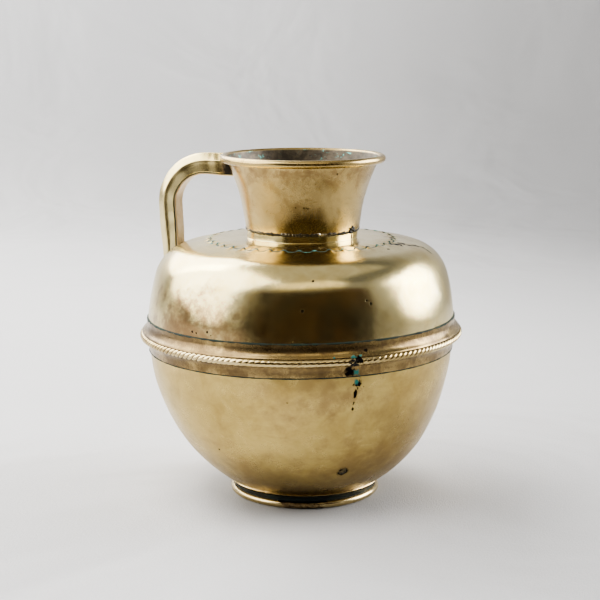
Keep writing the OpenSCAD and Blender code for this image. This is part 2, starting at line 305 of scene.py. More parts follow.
def brass(name, light=(0.80, 0.655, 0.405), deep=(0.60, 0.445, 0.225), brown=(0.23, 0.145, 0.07),
          rough=(0.17, 0.30), brownness=0.35, planish=0.06, planish_scale=55.0, streak=0.0,
          spots=(), teal=(), stains=(), inside=True, coat=0.0, seed=0.0, scratch=1.0):
    """Old hand-raised brass: pale where rubbed, deeper and brown where the tarnish stays, and near black in creases,
    recesses and joins, partly dirt and partly painted shade.
    """
    k = Nodes(name)
    off = (seed * 1.7, seed * 0.9, -seed * 1.3)
    vec = k.scaled(1, 1, 1, off)
    broad = k.noise(13.0, 4.0, 0.55, 0.4, vec)
    cloud = k.noise(48.0, 8.0, 0.66, 0.6, vec)
    mottle = k.noise(230.0, 7.0, 0.7, 0.2, vec)
    fine = k.noise(1500.0, 4.0, 0.7, 0.0, vec)
    grime_and_shade = k.attr("grime_and_shade")
    tone = k.math("ADD", k.math("MULTIPLY", broad, 0.55), k.math("MULTIPLY", cloud, 0.45))
    base = k.mix(k.step(tone, 0.36, 0.66), light, deep)
    # tarnish gathers in clouds, more where the per-point dirt-and-painted-shade value is high
    tar = k.math("ADD", k.math("MULTIPLY", cloud, 0.5), k.math("MULTIPLY", mottle, 0.5))
    thr = k.math("SUBTRACT", 0.80 - 0.32 * brownness, k.math("MULTIPLY", grime_and_shade, 0.42))
    tar_mask = k.step(k.math("SUBTRACT", tar, thr), -0.10, 0.16)
    if streak:
        hz = k.scaled(1, 1, 5, off)
        lines = k.noise(42.0, 8.0, 0.7, 0.8, hz)
        base = k.mix(k.math("MULTIPLY", k.step(lines, 0.47, 0.72), streak), base, brown)
    pepper = k.step(k.noise(780.0, 3.0, 0.6, 0.0, vec), 0.66, 0.74)
    pepper = k.math("MULTIPLY", pepper, k.step(k.math("ADD", cloud, k.math("MULTIPLY", grime_and_shade, 0.3)), 0.50, 0.66))
    base = k.mix(k.math("MULTIPLY", tar_mask, 0.82), base, brown)
    base = k.mix(k.math("MULTIPLY", pepper, 0.65), base, (0.10, 0.065, 0.035))
    for (p, size, amount, stretch) in stains:
        soft = k.math("MULTIPLY", k.spot(p, size, 0.9, 0.8, stretch, 60.0), amount)
        base = k.mix(soft, base, brown)
    # near black where that value peaks: dirt, and painted shade in creases, recesses and joins
    heavy_grime_and_shade = k.step(k.math("ADD", grime_and_shade, k.math("MULTIPLY", k.math("SUBTRACT", mottle, 0.5), 0.8)), 0.62, 0.95)
    base = k.mix(heavy_grime_and_shade, base, (0.035, 0.028, 0.02))
    dark = [heavy_grime_and_shade]
    for (p, size, rag, stretch) in spots:
        dark.append(k.spot(p, size, 0.3, rag, stretch))
    black = k.most(dark) if len(dark) > 1 else heavy_grime_and_shade
    if len(dark) > 1:
        base = k.mix(black, base, (0.007, 0.005, 0.004))
    green = None
    if teal:
        green = k.most([k.spot(p, size, 0.35, rag, stretch, 420.0) for (p, size, rag, stretch) in teal])
        base = k.mix(green, base, (0.02, 0.19, 0.155))
    ins = k.attr("inside")
    metal = k.math("SUBTRACT", 1.0, k.math("MULTIPLY", tar_mask, 0.12), clamp=True)
    metal = k.math("MAXIMUM", metal, black)
    rgh = k.step(k.math("ADD", k.math("MULTIPLY", cloud, 0.6), k.math("MULTIPLY", fine, 0.4)), 0.3, 0.72, rough[0], rough[1])
    rgh = k.math("ADD", rgh, k.math("MULTIPLY", tar_mask, 0.07))
    rgh = k.math("ADD", rgh, k.math("MULTIPLY", black, 0.30))
    if green is not None:
        metal = k.math("MULTIPLY", metal, k.math("SUBTRACT", 1.0, green))
        rgh = k.math("ADD", rgh, k.math("MULTIPLY", green, 0.35))
    if inside:
        dirt = k.noise(120.0, 8.0, 0.7, 0.4, vec)
        incol = k.mix(k.step(dirt, 0.35, 0.70), (0.040, 0.032, 0.020), (0.125, 0.098, 0.064))
        fleck = k.step(k.noise(150.0, 5.0, 0.65, 0.5, k.scaled(1, 1, 1.6, (3.1, 0, 0))), 0.60, 0.665)
        incol = k.mix(fleck, incol, (0.10, 0.34, 0.29))
        pinhole = k.step(k.noise(420.0, 3.0, 0.6, 0.0, vec), 0.62, 0.70)
        incol = k.mix(pinhole, incol, (0.03, 0.025, 0.02))
        base = k.mix(ins, base, incol)
        metal = k.math("MULTIPLY", metal, k.math("SUBTRACT", 1.0, k.math("MULTIPLY", ins, 0.45)))
        rgh = k.math("ADD", rgh, k.math("MULTIPLY", ins, 0.2))
    rgh = k.math("MINIMUM", rgh, 0.85)
    # hammer and planishing marks, then fine scouring scratches and pits
    marks = k.t.nodes.new("ShaderNodeTexVoronoi")
    marks.feature = "SMOOTH_F1"
    marks.inputs["Scale"].default_value = planish_scale
    marks.inputs["Smoothness"].default_value = 1.0
    k.put(marks.inputs["Vector"], k.mix(0.05, vec, k.noise(40.0, 3.0, 0.5, 0.0, vec, True)))
    ham = k.math("ADD", marks.outputs["Distance"], k.math("MULTIPLY", k.noise(planish_scale * 0.5, 3.0, 0.5, 0.0, vec), 1.2))
    nrm = k.bump(ham, planish * MM, 1.0)
    sc = k.noise(900.0, 3.0, 0.6, 0.0, k.scaled(0.35, 0.35, 2.2, off))
    low = k.math("ADD", k.math("MULTIPLY", sc, 0.012 * scratch),
                 k.math("SUBTRACT", k.math("MULTIPLY", fine, 0.016), k.math("MULTIPLY", pepper, 0.03)))
    low = k.math("SUBTRACT", low, k.math("MULTIPLY", black, 0.05))
    nrm = k.bump(low, 1.0 * MM, 1.0, nrm)
    return k.surface(base, metal, rgh, nrm, coat, 0.22)


def crust(name, dark=(0.018, 0.022, 0.018), mid=(0.05, 0.09, 0.075), bright=(0.16, 0.42, 0.36), scale=260.0,
          thr=0.56, rough=0.6, metal=0.15, bump=0.25, lit=(0.55, 0.47, 0.36), lit_at=0.80):
    """Braze or corrosion: dark, with verdigris and some bare metal in patches."""
    k = Nodes(name)
    a = k.noise(scale, 6.0, 0.65, 0.4)
    b = k.noise(scale * 0.28, 4.0, 0.6, 0.3, k.scaled(1, 1, 1, (2.3, 1.1, 0.4)))
    c = k.noise(scale * 3.1, 4.0, 0.6)
    base = k.mix(k.step(a, 0.38, 0.62), dark, mid)
    base = k.mix(k.step(k.math("ADD", k.math("MULTIPLY", a, 0.4), k.math("MULTIPLY", b, 0.6)), thr, thr + 0.06), base, bright)
    bare = k.step(k.math("ADD", k.math("MULTIPLY", b, 0.45), k.math("MULTIPLY", c, 0.55)), lit_at - 0.2, lit_at - 0.14)
    base = k.mix(bare, base, lit)
    met = k.math("ADD", metal, k.math("MULTIPLY", bare, 0.8), clamp=True)
    rgh = k.math("SUBTRACT", k.math("ADD", rough, k.math("MULTIPLY", c, 0.2)), k.math("MULTIPLY", bare, 0.35))
    nrm = k.bump(k.math("ADD", a, k.math("MULTIPLY", c, 0.5)), bump * MM, 1.0)
    return k.surface(base, met, rgh, nrm)


# ---------------------------------------------------------------------- materials

bowl_spots = [(place(123.2, -55.0, 116.5), 3.0, 0.55, (1, 1, 0.75)), (place(122.3, -55.6, 108.5), 1.5, 0.7, (1, 1, 0.45)),
              (place(121.0, -56.0, 101.0), 0.9, 0.8, (1, 1, 0.4)), (place(119.7, -56.2, 96.5), 1.2, 0.5, (1, 1, 0.8)),
              (place(103.6, -114.5, 55.5), 0.9, 0.3, (1, 1, 1)), (place(123.8, -52.4, 113.5), 0.8, 0.5, (1, 1, 1)),
              (place(110.0, 40.0, 68.0), 1.4, 0.5, (1, 1, 1)), (place(122.0, 130.0, 106.0), 1.0, 0.5, (1, 1, 1)),
              (place(92.3, -56.0, 39.2), 4.6, 0.25, (1, 1, 1)), (place(121.5, -80.0, 103.0), 0.7, 0.6, (1, 1, 1))]
bowl_teal = [(place(123.3, -55.3, 118.0), 1.6, 0.4, (1, 1, 0.8)), (place(124.0, -54.3, 123.2), 1.3, 0.4, (1, 1, 0.8))]
shoulder_spots = [(place(113.6, -70.5, 195.0), 0.95, 0.2, (1, 1, 1)), (place(120.5, -51.0, 179.0), 0.8, 0.3, (1, 1, 1)),
                  (place(121.2, -49.5, 176.5), 0.95, 0.3, (1, 1, 1)), (place(125.0, -116.5, 153.0), 0.8, 0.5, (1, 1, 1)),
                  (place(124.9, -109.5, 154.5), 0.9, 0.5, (1, 1, 1)), (place(121.9, -74.5, 173.5), 0.9, 0.6, (1, 1, 1)),
                  (place(125.0, -114.6, 152.6), 0.6, 0.5, (1, 1, 1)), (place(124.9, -107.9, 152.4), 0.6, 0.5, (1, 1, 1)),
                  (place(79.5, -8.0, 210.6), 3.2, 1.0, (0.4, 1, 1)), (place(88.0, -2.0, 209.0), 2.6, 1.1, (0.35, 1, 1)),
                  (place(97.0, 1.5, 206.8), 2.2, 1.1, (0.4, 1, 1)), (place(105.0, 1.5, 202.8), 1.5, 1.0, (0.6, 1, 1)),
                  (place(86.0, -22.0, 209.6), 1.0, 0.9, (1, 1, 1)), (place(82.0, -16.0, 210.2), 1.2, 1.0, (1, 1, 1)),
                  (place(118.0, 64.0, 186.0), 0.9, 0.4, (1, 1, 1)), (place(124.5, 118.0, 158.0), 1.1, 0.5, (1, 1, 1)),
                  (place(112.0, -160.0, 196.0), 0.8, 0.4, (1, 1, 1))]
shoulder_stains = [(place(124.8, -112, 152.0), 36, 0.85, (1, 1, 1.7)), (place(124.8, -130, 150.0), 30, 0.7, (1, 1, 1.7)),
                   (place(124.5, -38, 152.0), 24, 0.12, (1, 1, 1.8)), (place(125.0, -70, 148.0), 40, 0.25, (1, 1, 2.4)),
                   (place(124.8, 70, 152.0), 30, 0.35, (1, 1, 1.7)), (place(120.0, 160, 176.0), 22, 0.2, (1, 1, 1.2))]
flange_spots = [(place(72.5, 12.0, 211.9), 1.5, 1.0, (0.5, 1, 1)), (place(45.0, -13.5, 215.8), 1.5, 0.5, (1, 1, 0.55)),
                (place(46.0, -2.0, 218.5), 0.9, 0.8, (1, 1, 1))]
neck_spots = [(place(46.6, -16.5, 222.4), 1.6, 0.4, (1, 1, 0.8)), (place(46.6, -2.0, 222.6), 0.9, 0.9, (1, 1, 1)),
              (place(58.0, -48.0, 268.8), 0.9, 0.6, (1, 1, 1)), (place(50.0, -58.0, 233.0), 0.7, 0.6, (1, 1, 1)),
              (place(49.0, -73.0, 241.5), 1.4, 0.9, (0.6, 1, 1.6)), (place(49.0, -82.0, 242.0), 0.9, 0.9, (0.6, 1, 1.6))]
band_spots = [(place(129.5, -56.0, 137.0), 3.6, 0.7, (1, 1, 1.2)), (place(125.6, -58.0, 126.5), 3.7, 0.4, (1, 1, 0.9)),
              (place(128.2, -53.0, 143.0), 1.9, 0.8, (1, 1, 1))]
band_stains = [(place(128.5, -22.0, 141.0), 7.0, 0.85, (0.5, 1, 1.2)), (place(128.5, -33.0, 142.0), 5.0, 0.7, (0.5, 1, 1.4)),
               (place(129.5, -12.0, 139.5), 4.0, 0.8, (0.7, 1, 1)), (place(128.0, -90.0, 142.0), 30.0, 0.35, (0.6, 1, 1)),
               (place(128.5, -125.0, 142.0), 44.0, 0.75, (1, 1, 1.6))]
band_teal = [(place(130.2, -57.5, 138.6), 1.7, 0.5, (1, 1, 1)), (place(125.3, -55.6, 125.6), 2.1, 0.5, (1, 1, 1)),
             (place(130.2, -55.0, 140.2), 1.1, 0.6, (1, 1, 1)), (place(130.0, -64.0, 139.0), 0.7, 0.6, (1, 1, 1)),
             (place(124.8, -54.5, 122.4), 1.1, 0.5, (1, 1, 1))]

bowl_stains = [(place(123.0, -72, 118.0), 34, 0.34, (1, 1, 1.8)), (place(121.5, -67, 106.0), 15, 0.30, (1, 1, 1.3)),
               (place(120.0, -78, 92.0), 20, 0.16, (1, 1, 1)), (place(80.0, -75, 24.0), 60, 0.30, (0.7, 0.7, 2.2)),
               (place(100.0, -20, 60.0), 55, 0.28, (1, 1, 1)), (place(123.5, 60, 118.0), 40, 0.3, (1, 1, 1.8)),
               (place(110.0, 150, 70.0), 45, 0.2, (1, 1, 1)), (place(123.0, -118, 112.0), 12, 0.25, (1, 1, 1))]
m_bowl = brass("bowl_brass", light=(0.57, 0.435, 0.165), deep=(0.40, 0.285, 0.095), rough=(0.24, 0.38), brownness=0.12,
               streak=0.16, stains=bowl_stains, spots=bowl_spots, teal=bowl_teal, seed=1.0, planish=0.10)
m_shoulder = brass("shoulder_brass", light=(0.76, 0.66, 0.36), deep=(0.59, 0.47, 0.20), rough=(0.15, 0.27),
                   brownness=0.24, spots=shoulder_spots, stains=shoulder_stains, seed=2.3, planish=0.12)
m_flange = brass("flange_brass", light=(0.78, 0.66, 0.34), deep=(0.62, 0.48, 0.19), rough=(0.12, 0.22), brownness=0.2,
                 spots=flange_spots, seed=3.1, planish=0.05)
m_neck = brass("neck_brass", light=(0.52, 0.395, 0.175), deep=(0.34, 0.24, 0.095), rough=(0.20, 0.32), brownness=0.46,
               spots=neck_spots, seed=4.7, planish=0.07, streak=0.08)
m_band = brass("band_brass", light=(0.45, 0.335, 0.15), deep=(0.25, 0.17, 0.065), brown=(0.12, 0.08, 0.04),
               rough=(0.18, 0.32), brownness=0.66, streak=0.55,
               spots=band_spots, teal=band_teal, stains=band_stains, seed=5.2, planish=0.05, inside=False)
m_rope = brass("rope_brass", light=(0.64, 0.52, 0.28), deep=(0.44, 0.33, 0.14), rough=(0.16, 0.28), brownness=0.3,
               spots=[(place(131.5, -55.8, 136.5), 3.0, 0.7, (1, 1, 1))], seed=6.6, planish=0.02, inside=False)
m_foot = brass("foot_brass", light=(0.70, 0.55, 0.28), deep=(0.48, 0.34, 0.14), rough=(0.16, 0.28), brownness=0.35,
               seed=7.4, planish=0.02, inside=False)
m_handle = brass("handle_brass", light=(0.78, 0.66, 0.34), deep=(0.60, 0.47, 0.20), rough=(0.15, 0.27), brownness=0.26,
                 seed=8.1, planish=0.06, planish_scale=80.0, inside=False)
m_strip = brass("strip_brass", light=(0.74, 0.58, 0.34), deep=(0.56, 0.40, 0.21), brown=(0.28, 0.17, 0.10),
                rough=(0.28, 0.42), brownness=0.5, seed=9.9, planish=0.12, planish_scale=220.0, inside=False)
m_verdigris = crust("verdigris_braze", dark=(0.012, 0.03, 0.024), mid=(0.035, 0.10, 0.082), bright=(0.13, 0.45, 0.37),
                    scale=190.0, thr=0.53, rough=0.55, lit_at=0.83)
m_line = crust("line_braze", dark=(0.012, 0.022, 0.018), mid=(0.014, 0.034, 0.022), bright=(0.03, 0.08, 0.055),
               scale=120.0, thr=0.60, metal=0.0, rough=0.75, lit_at=0.86)
m_dark = crust("dark_braze", dark=(0.012, 0.010, 0.008), mid=(0.035, 0.028, 0.02), bright=(0.05, 0.13, 0.11),
               scale=260.0, thr=0.60, rough=0.5, lit=(0.75, 0.66, 0.5), lit_at=0.755, bump=0.2)
m_foot_braze = crust("foot_braze", dark=(0.006, 0.008, 0.007), mid=(0.012, 0.022, 0.019), bright=(0.02, 0.06, 0.05),
                     scale=70.0, thr=0.60, rough=0.5, lit_at=0.95, bump=0.2)
m_solder = crust("solder", dark=(0.007, 0.006, 0.004), mid=(0.024, 0.020, 0.014), bright=(0.03, 0.11, 0.09),
                 scale=230.0, thr=0.58, rough=0.32, metal=0.55, bump=0.35, lit=(0.2, 0.17, 0.14), lit_at=0.82)
m_patch = crust("patch_solder", dark=(0.02, 0.016, 0.009), mid=(0.17, 0.13, 0.055), bright=(0.09, 0.085, 0.045),
                scale=150.0, thr=0.60, rough=0.38, metal=0.75, bump=0.35, lit=(0.34, 0.27, 0.13), lit_at=0.80)


def paint(ob, mat):
    ob.data.materials.clear()
    ob.data.materials.append(mat)
    return ob


# --------------------------------------------------------------------- lower bowl

outer = [(124.2, 146.0)] + line((124.2, 146.0), (124.2, 133.4), 5)
outer += arc(-33.8, 133.4, 158, 0, -26, 26)[1:] + arc(-6.83, 120.25, 128, -26, -60, 24)[1:]
outer += arc(51.17, 19.79, 12, -60, -90, 8)[1:] + line((51.17, 7.79), (8, 7.79), 8) + [(0, 7.79)]
inner = [(0, 8.99), (8, 8.99)] + line((8, 8.99), (51.17, 8.99), 8) + arc(51.17, 19.79, 10.8, -90, -60, 8)[1:]
inner += arc(-6.83, 120.25, 126.8, -60, -26, 24)[1:] + arc(-33.8, 133.4, 156.8, -26, 0, 26)[1:]
inner += line((123.0, 133.4), (123.0, 146.0), 5)


# dirt and painted shade: darker low down towards the foot, under the band and on the side away from the window
def bowl_grime_and_shade(R, Z, T):
    low = 0.42 * (1 - smooth(Z, 14, 44)) + 0.12 * (1 - smooth(Z, 40, 80))
    top = 0.20 * smooth(Z, 112, 121)
    side = 0.10 * np.cos(T - math.radians(-20)) * (1 - smooth(Z, 60, 110))
    return low + top + side


paint(lathe("bowl", outer + inner, seg=320, slot="bowl_brass", node="lower_bowl",
            inside=[0] * len(outer) + [1] * len(inner), grime_and_shade=bowl_grime_and_shade), m_bowl)

# ----------------------------------------------------------------- shoulder shell

so = [(125.4, 139.6), (125.4, 142.3)] + arc(-15.6, 142.3, 141, 0, 17.6, 20)[1:]
so += arc(86.87, 174.80, 33.5, 17.6, 76.9, 28)[1:] + [(90.5, 208.3), (86.5, 209.1)]
si = [(86.5, 207.9), (90.5, 207.1)] + arc(86.87, 174.80, 32.3, 76.9, 17.6, 28)[:-1]
si += arc(-15.6, 142.3, 139.8, 17.6, 0, 20)[:-1] + [(124.2, 142.3), (124.2, 139.6)]


def shoulder_prof(th):
    edge = seam_r(th) + 0.32
    m = len(th)
    R = [np.full(m, p[0]) for p in so]
    Z = [np.full(m, p[1]) for p in so]
    for t in (0.35, 0.6, 0.8, 1.0):
        r = 86.5 + (edge - 86.5) * t
        R.append(r)
        Z.append(dome_z(r, th))
    for t in (1.0, 0.8, 0.6, 0.35):
        r = 86.5 + (edge - 86.5) * t
        R.append(r)
        Z.append(dome_z(r, th) - 1.2)
    R += [np.full(m, p[0]) for p in si]
    Z += [np.full(m, p[1]) for p in si]
    return np.array(R).T, np.array(Z).T


# dirt and painted shade: darker just above the band, in a patch low on the left, towards the seam and round the foot of
# the handle
def shoulder_grime_and_shade(R, Z, T):
    low = 0.22 * (1 - smooth(Z, 148, 170))
    patch = 0.22 * bump_1d(Z, 156, 14) * (0.5 + 0.5 * np.cos(T - math.radians(-118)))
    near = 0.24 * smooth(-R, -84, -76) + 0.16 * np.exp(-((T - math.radians(-4)) / 0.22) ** 2) * smooth(Z, 198, 207)
    foot = 0.55 * np.exp(-(np.hypot((R * np.cos(T) + 108) / 12, (R * np.sin(T)) / 12)) ** 2) * smooth(Z, 170, 180)
    return low + patch + near + foot


paint(lathe("shoulder", shoulder_prof, seg=960, slot="shoulder_brass", node="shoulder_shell",
            inside=[0] * (len(so) + 4) + [1] * (len(si) + 4), grime_and_shade=shoulder_grime_and_shade), m_shoulder)

# -------------------------------------------------------- neck flange with collar

fo_low = [(52.0, 212.85), (46.2, 212.85)] + arc(45.437, 213.30, 0.45, 270, 180, 5) + [(44.987, 215.85)]
col_o = [(44.987, 217.7), (44.987, 219.6), (45.35, 222.0), (45.91, 225.6)]
col_i = [(44.71, 225.6), (44.16, 222.1), (43.787, 219.7), (43.787, 215.85)]
fi_low = [(43.787, 214.2), (44.4, 212.4), (45.9, 211.65), (52.0, 211.65)]


def flange_prof(th):
    edge = seam_r(th) - 0.32
    m = len(th)
    R, Z = [], []
    for t in (1.0, 0.8, 0.55, 0.3, 0.0):
        r = 59.21 + (edge - 59.21) * t
        R.append(r)
        Z.append(dome_z(r, th))
    for p in fo_low + col_o + col_i + fi_low:
        R.append(np.full(m, p[0]))
        Z.append(np.full(m, p[1]))
    for t in (0.0, 0.3, 0.55, 0.8, 1.0):
        r = 59.21 + (edge - 59.21) * t
        R.append(r)
        Z.append(dome_z(r, th) - 1.2)
    return np.array(R).T, np.array(Z).T


# dirt and painted shade: darker along the seam and in the crease above the collar, with a painted shadow on the collar
# up to the neck's lapped edge
def flange_grime_and_shade(R, Z, T):
    return 0.30 * bump_1d(R, 75, 3.5) + 0.32 * bump_1d(R, 46.2, 2.2) * (1 - smooth(Z, 214, 216)) + 0.3 * smooth(Z, 218, 219.6)


nf = 5 + len(fo_low) + len(col_o)
paint(lathe("flange", flange_prof, seg=960, slot="shoulder_brass", node="neck_flange",
            inside=[0] * nf + [1] * (5 + len(fi_low) + len(col_i)), grime_and_shade=flange_grime_and_shade), m_flange)

# ------------------------------------------------------------- toothed seam braze


def seam_prof(th):
    mid = seam_r(th)
    pocket = 0.25 + 0.55 * np.exp(-((((th + math.radians(75)) + math.pi) % (2 * math.pi) - math.pi) / 0.32) ** 2)
    peak = smooth(-np.abs(((th * TEETH / (2 * math.pi)) % 1.0) - 0.5), -0.3, -0.02)
    wid = 0.66 + 0.10 * np.sin(31 * th) + 0.12 * np.sin(12 * th + 1) + pocket * peak * 1.4
    wid = 0.36 + (wid - 0.36) * smooth(np.cos(th + math.radians(75)), -0.25, 0.35)
    R, Z = [], []
    for a, h in ((-1.0, 0.0), (-0.55, 0.16), (0.0, 0.20), (0.55, 0.16), (1.0, 0.0), (0.8, -0.8), (-0.8, -0.8)):
        r = mid + a * wid
        R.append(r)
        Z.append(dome_z(r, th) + h * (1 + 0.5 * np.sin(77 * th)) * 0.9)
    return np.array(R).T, np.array(Z).T


paint(lathe("cramp_seam", seam_prof, seg=1440, slot="verdigris_braze", node="cramp_seam_braze", sharp=60), m_verdigris)

# ------------------------------------------------------------ neck with wired rim

C = (64.10, 276.8)
neck_o = [(46.1, 219.6)] + line((46.1, 219.6), (48.33, 234.0), 6) + arc(173.83, 214.57, 127, 171.2, 158.5, 16)[1:]
hook = math.radians(207.6)
hook_pt = (C[0] + 3.2 * math.cos(hook), C[1] + 3.2 * math.sin(hook))
neck_o += line(neck_o[-1], hook_pt, 6)
roll = arc(C[0], C[1], 3.18, -152.4, 158.5, 40)[1:]
t_in = (C[0] + 3.2 * math.cos(math.radians(158.5)), C[1] + 3.2 * math.sin(math.radians(158.5)))
neck_i = line(t_in, (54.55, 261.55), 6) + arc(173.83, 214.57, 128.1, 158.5, 171.2, 16)[1:]
neck_i += line(neck_i[-1], (45.0, 219.6), 6)


# painted shade with dirt in the crease under the rolled rim, below the rim, at the foot of the neck and where the
# handle's arm meets it; also a faint darker band round the middle, most at the front
def neck_grime_and_shade(R, Z, T):
    crease = 0.95 * bump_1d(np.hypot(R - hook_pt[0], (Z - hook_pt[1]) * 0.8), 0, 0.9)
    under = 0.42 * smooth(Z, 252, 270) * (1 - smooth(Z, 272, 274))
    blotch = 0.10 * bump_1d(Z, 250, 10) * (0.5 + 0.5 * np.cos(T - math.radians(-75)))
    arm = 0.5 * np.exp(-((R * np.cos(T) + 62) ** 2 + (R * np.sin(T)) ** 2) / 170.0) * (1 - smooth(Z, 274, 277))
    foot = 0.25 * (1 - smooth(Z, 219.6, 224))
    return crease + under + blotch + foot + arm


n_out = len(neck_o) + len(roll)
paint(lathe("neck", neck_o + roll + neck_i, seg=288, slot="neck_brass", node="neck",
            inside=[0] * (n_out - 3) + [0.5, 0.8, 1] + [1] * len(neck_i), grime_and_shade=neck_grime_and_shade), m_neck)
paint(lathe("rim_wire", arc(C[0], C[1], 1.95, 0, 350, 35), seg=192, slot="neck_brass", node="rim_wire"), m_foot)


# beads of braze: a ring whose thickness varies along its length
def bead_prof(shape, rc, zc, amp, seed):
    def prof(th):
        k = 1 + amp * (np.sin(23 * th + seed) + 0.7 * np.sin(61 * th + 2 * seed) + 0.5 * np.sin(97 * th + seed / 2))
        k = np.clip(k, 0.35, 2.2)
        R = np.array([rc + (p[0] - rc) * k for p in shape]).T
        Z = np.array([zc + (p[1] - zc) * k for p in shape]).T
        return R, Z
    return prof


ns = [(44.9, 218.0), (45.35, 218.5), (45.95, 219.1), (46.45, 219.75), (46.55, 220.4), (46.1, 220.9), (45.6, 220.2), (45.2, 219.4)]
paint(lathe("neck_seam", bead_prof(ns, 45.7, 219.5, 0.22, 1.0), seg=720, slot="dark_braze", node="neck_seam_braze",
            sharp=60), m_dark)

# --------------------------------------------------------- belly band and its rope

RC, RZ, RW = 129.2, 135.1, 3.1          # rope bead: centre of its section and radius
band = [(125.45, 148.9), (126.3, 148.9), (126.3, 146.5)] + arc(135.3, 146.5, 9, 180, 226, 10)[1:]
band += [(129.55, 139.55), (130.05, 138.95), (130.35, 138.4), (130.3, 137.95)]
band += arc(RC, RZ, RW - 0.06, 70, 262, 24)
band += arc(132.53, 126.0, 7.6, 128, 180, 10) + [(124.62, 122.5), (123.9, 122.5), (124.0, 125.0), (124.3, 129.5),
                                                (124.5, 134.0), (124.8, 138.0), (125.42, 142.0), (125.42, 146.0)]


# dirt and painted shade: darker on the upper strip, in the groove where the rope sits, at the lip's edge beside the
# rope and in the lower cove, lighter on the lip, and a little darker on the side away from the window
def band_grime_and_shade(R, Z, T):
    upper = 0.34 * bump_1d(Z, 143.6, 3.4) + 0.16 * smooth(Z, 146.5, 149)
    groove = 0.9 * (1 - smooth(np.abs(np.hypot(R - RC, Z - RZ) - RW + 0.06), 0.0, 0.10)) * (1 - smooth(R, 129.6, 130.2))
    low = 0.24 * bump_1d(Z, 127, 3.5)
    edge = 0.5 * bump_1d(np.hypot(R - 130.3, Z - 137.95), 0, 0.45)
    lip = -0.35 * bump_1d(Z, 140.0, 1.6)
    return upper + groove + low + edge + lip + 0.1 * np.cos(T - math.radians(-25))


paint(lathe("band", band, seg=360, slot="band_brass", node="belly_band", grime_and_shade=band_grime_and_shade, sharp=40), m_band)

m, n = 171 * 12, 36
th = 2 * math.pi * np.arange(m) / m
ph = 2 * math.pi * np.arange(n) / n
TH, PH = np.meshgrid(th, ph, indexing="ij")
wob = 0.5 * np.sin(9 * TH) + 0.4 * np.sin(23 * TH + 1)
psi = 3 * PH - 171 * TH + wob
off = np.abs((TH - math.radians(-72) + math.pi) % (2 * math.pi) - math.pi)
wear = (0.28 + 0.72 * smooth(off, 0.28, 0.75)) * (0.85 + 0.15 * np.sin(5 * TH))
rho = RW - 0.07 - 0.85 * wear * (1 - np.abs(np.sin(psi / 2)) ** 0.7)
RR = RC + rho * np.cos(PH)
ZZ = RZ + rho * np.sin(PH)
# darker in the valleys between the strands, with painted shade on the side where the rope sits against the band
valley = (1 - np.abs(np.sin(psi / 2))) ** 1.6
hug = smooth(-np.cos(PH), -0.62, 0.1)
rope_grime_and_shade = 1.0 * valley * (0.35 + 0.65 * wear) + 0.55 * hug * (0.4 + valley)
verts = np.stack([(RR * np.cos(TH)).ravel(), (RR * np.sin(TH)).ravel(), ZZ.ravel()], axis=1)
paint(finish_mesh("rope", verts, grid_faces(m, n), slot="rope_brass", node="rope_bead", sharp=70,
                  attrs={"grime_and_shade": rope_grime_and_shade.ravel(), "inside": np.zeros(m * n)}), m_rope)

up = [(125.3, 149.55), (126.0, 149.25), (126.42, 148.75), (126.2, 148.2), (125.3, 148.2)]
paint(lathe("band_line_top", bead_prof(up, 125.6, 148.6, 0.10, 0.4), seg=480, slot="verdigris_braze",
            node="band_upper_braze", sharp=70), m_line)
lo = [(123.6, 121.7), (124.25, 121.9), (124.95, 122.3), (124.9, 122.85), (123.7, 122.85)]
paint(lathe("band_line_low", bead_prof(lo, 124.15, 122.5, 0.12, 2.2), seg=480, slot="verdigris_braze",
            node="band_lower_braze", sharp=70), m_line)

# --------------------------------------------------------------------------- foot

fl_o = arc(-6.83, 120.25, 129.05, -59.4, -57.4, 5)
hoop = [(56.3, 0.3), (57.5, 0.0), (57.5, 6.2), (57.7, 7.3), (58.1, 8.05)] + fl_o
hoop += [(62.9, 12.0), (62.5, 12.6)] + arc(-6.83, 120.25, 127.9, -57.4, -60, 5) + arc(51.17, 19.79, 12.05, -61, -63.5, 3) + [(56.3, 8.75)]


# painted shade on the hoop's recessed wall above the bead, over an even base value
def foot_grime_and_shade(R, Z, T):
    return 0.75 * smooth(Z, 1.5, 5.5) * (1 - smooth(R, 60.6, 61.6)) + 0.25


paint(lathe("foot_ring", hoop, seg=288, slot="foot_brass", node="foot_hoop", grime_and_shade=foot_grime_and_shade), m_foot)

fb_a = arc(58.9, 3.0, 3.0, -75, 118, 26)
foot_bead = [(57.5, 0.0), (58.4, 0.0)] + fb_a + [(57.5, 5.5)]


# painted shade where the bead meets the hoop and where it stands on the floor, and darker over the front of the bead
def bead_grime_and_shade(R, Z, T):
    d = (T - math.radians(-75.5) + math.pi) % (2 * math.pi) - math.pi
    front = 0.70 * (1 - smooth(np.abs(d + 0.02) + 0.05 * np.sin(31 * T + Z), 0.24, 0.36))
    return front + 0.55 * smooth(Z, 4.6, 5.9) + 0.3 * (1 - smooth(Z, 0, 0.9))


paint(lathe("foot_bead_ring", foot_bead, seg=480, slot="rope_brass", node="foot_bead", grime_and_shade=bead_grime_and_shade), m_rope)
fbz = [(57.4, 5.2), (59.2, 5.1), (58.9, 6.2), (59.5, 7.9), (61.1, 10.1), (60.1, 9.8), (58.4, 8.2), (57.4, 7.5)]
paint(lathe("foot_joint", bead_prof(fbz, 59.0, 7.0, 0.05, 1.4), seg=360, slot="dark_braze", node="foot_braze",
            sharp=60), m_foot_braze)

# ------------------------------------------------------------------------- handle
# centre line in the plane y = 0: an arm from the rim, a bend, and a leg to the shoulder


